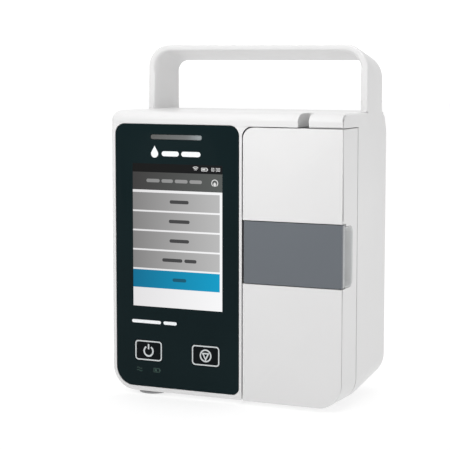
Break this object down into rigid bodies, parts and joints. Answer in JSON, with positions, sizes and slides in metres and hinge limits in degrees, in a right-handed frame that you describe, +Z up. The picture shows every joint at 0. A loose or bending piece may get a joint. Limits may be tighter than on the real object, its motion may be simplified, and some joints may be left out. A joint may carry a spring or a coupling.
{
  "type": "infusion pump",
  "caption": "Single-channel volumetric infusion pump with a touch display, a hinged tube door with a pull handle, and an arched carrying handle.",
  "frame": {"origin": "middle of the box that holds the pump, on the surface its feet stand on", "axes": "+X to the right seen from the front, +Y from the display face towards the back, +Z up"},
  "size_m": [0.144, 0.076, 0.2047],
  "materials": {
    "housing_white": "satin moulded plastic",
    "panel_black": "polished black front glass",
    "key_black": "polished black key caps with a white outline",
    "display": "lit colour display",
    "frosted_lens": "frosted light guide",
    "handle_grey": "fine satin grey plastic",
    "recess_grey": "fine satin pale grey plastic",
    "cover_grey": "fine grained grey plastic",
    "chassis_grey": "fine grained grey plastic",
    "socket_black": "matt black plastic",
    "rubber_foot": "matt rubber",
    "silicone": "translucent silicone",
    "circuit_board": "green solder mask",
    "battery_wrap": "blue shrink wrap",
    "steel": "brushed",
    "aluminium": "machined",
    "brass": "machined",
    "motor_case": "black painted",
    "nylon": "natural nylon",
    "clamp_blue": "blue moulded plastic"
  },
  "bodies": {
    "pump": {"main_housing": "housing_white", "rear_cover": "housing_white", "front_panel": "panel_black", "lcd_module": "display", "alarm_light": "frosted_lens", "ac_lamp": "frosted_lens", "battery_lamp": "frosted_lens", "battery_door": "cover_grey", "pump_chassis": "chassis_grey", "ac_inlet": "socket_black", "data_port": "socket_black", "bubble_sensor": "socket_black", "speaker": "socket_black", "foot_1": "rubber_foot", "foot_2": "rubber_foot", "foot_3": "rubber_foot", "foot_4": "rubber_foot", "key_mat": "silicone", "finger_membrane": "silicone", "main_board": "circuit_board", "power_supply": "circuit_board", "battery_pack": "battery_wrap", "bearing_low": "steel", "bearing_high": "steel", "hinge_pin_low": "steel", "hinge_pin_high": "steel", "cover_screw_1": "steel", "cover_screw_2": "steel", "cover_screw_3": "steel", "cover_screw_4": "steel", "upstream_sensor": "steel", "downstream_sensor": "steel", "mechanism_frame": "aluminium", "clamp_plate": "aluminium", "stepper_motor": "motor_case"},
    "power_key": {"power_key": "key_black"},
    "start_stop_key": {"start_stop_key": "key_black"},
    "camshaft": {"camshaft": "steel", "camshaft_gear": "nylon"},
    "pinion": {"motor_pinion": "brass", "motor_shaft": "steel"},
    "flow_clamp": {"free_flow_clamp": "clamp_blue"},
    "door": {"door_shell": "housing_white", "finger_recess": "recess_grey", "door_frame": "steel", "handle_pin": "steel", "plate_spring_1": "steel", "plate_spring_2": "steel", "latch_spring": "steel"},
    "pressure_plate": {"pressure_plate": "aluminium"},
    "handle": {"door_handle": "handle_grey"},
    "latch": {"latch_bar": "steel"},
    "finger_1": {"finger_1": "nylon"},
    "finger_2": {"finger_2": "nylon"},
    "finger_3": {"finger_3": "nylon"},
    "finger_4": {"finger_4": "nylon"},
    "finger_5": {"finger_5": "nylon"},
    "finger_6": {"finger_6": "nylon"},
    "finger_7": {"finger_7": "nylon"},
    "finger_8": {"finger_8": "nylon"}
  },
  "joints": [
    {"name": "door_hinge", "type": "hinge", "parent": "pump", "child": "door", "pos_m": [0.02, -0.0328, 0.08], "axis": [0, 0, -1], "range_deg": [0, 85]},
    {"name": "handle_pull", "type": "hinge", "parent": "door", "child": "handle", "pos_m": [0.0165, -0.0348, 0.08], "axis": [0, 0, -1], "range_deg": [0, 12], "stiffness_Nm_per_rad": 1.2},
    {"name": "latch_lift", "type": "slide", "parent": "door", "child": "latch", "axis": [0, 0, 1], "range_m": [0, 0.0042], "deforming": ["latch_spring"]},
    {"name": "plate_float", "type": "slide", "parent": "door", "child": "pressure_plate", "axis": [0, -1, 0], "range_m": [0, 0.0008], "stiffness_N_per_m": 2500},
    {"name": "power_key_press", "type": "slide", "parent": "pump", "child": "power_key", "axis": [0, 1, 0], "range_m": [0, 0.0006], "stiffness_N_per_m": 700},
    {"name": "start_stop_key_press", "type": "slide", "parent": "pump", "child": "start_stop_key", "axis": [0, 1, 0], "range_m": [0, 0.0006], "stiffness_N_per_m": 700},
    {"name": "camshaft_spin", "type": "hinge", "parent": "pump", "child": "camshaft", "pos_m": [0.0485, 0, 0.08], "axis": [0, 0, 1], "continuous": true},
    {"name": "pinion_spin", "type": "hinge", "parent": "pump", "child": "pinion", "pos_m": [0.031, 0.00883, 0.05], "axis": [0, 0, 1], "continuous": true},
    {"name": "finger_1_press", "type": "slide", "parent": "pump", "child": "finger_1", "axis": [0, -1, 0], "range_m": [-0.0012, 0.0012]},
    {"name": "finger_2_press", "type": "slide", "parent": "pump", "child": "finger_2", "axis": [0, -1, 0], "range_m": [-0.0012, 0.0012]},
    {"name": "finger_3_press", "type": "slide", "parent": "pump", "child": "finger_3", "axis": [0, -1, 0], "range_m": [-0.0012, 0.0012]},
    {"name": "finger_4_press", "type": "slide", "parent": "pump", "child": "finger_4", "axis": [0, -1, 0], "range_m": [-0.0012, 0.0012]},
    {"name": "finger_5_press", "type": "slide", "parent": "pump", "child": "finger_5", "axis": [0, -1, 0], "range_m": [-0.0012, 0.0012]},
    {"name": "finger_6_press", "type": "slide", "parent": "pump", "child": "finger_6", "axis": [0, -1, 0], "range_m": [-0.0012, 0.0012]},
    {"name": "finger_7_press", "type": "slide", "parent": "pump", "child": "finger_7", "axis": [0, -1, 0], "range_m": [-0.0012, 0.0012]},
    {"name": "finger_8_press", "type": "slide", "parent": "pump", "child": "finger_8", "axis": [0, -1, 0], "range_m": [-0.0012, 0.0012]},
    {"name": "flow_clamp_close", "type": "slide", "parent": "pump", "child": "flow_clamp", "axis": [0, -1, 0], "range_m": [0, 0.002], "stiffness_N_per_m": 400}
  ],
  "couplings": [
    {"joint": "latch_lift", "follows": "handle_pull", "m_per_rad": 0.019099},
    {"joint": "pinion_spin", "follows": "camshaft_spin", "ratio": -3}
  ]
}
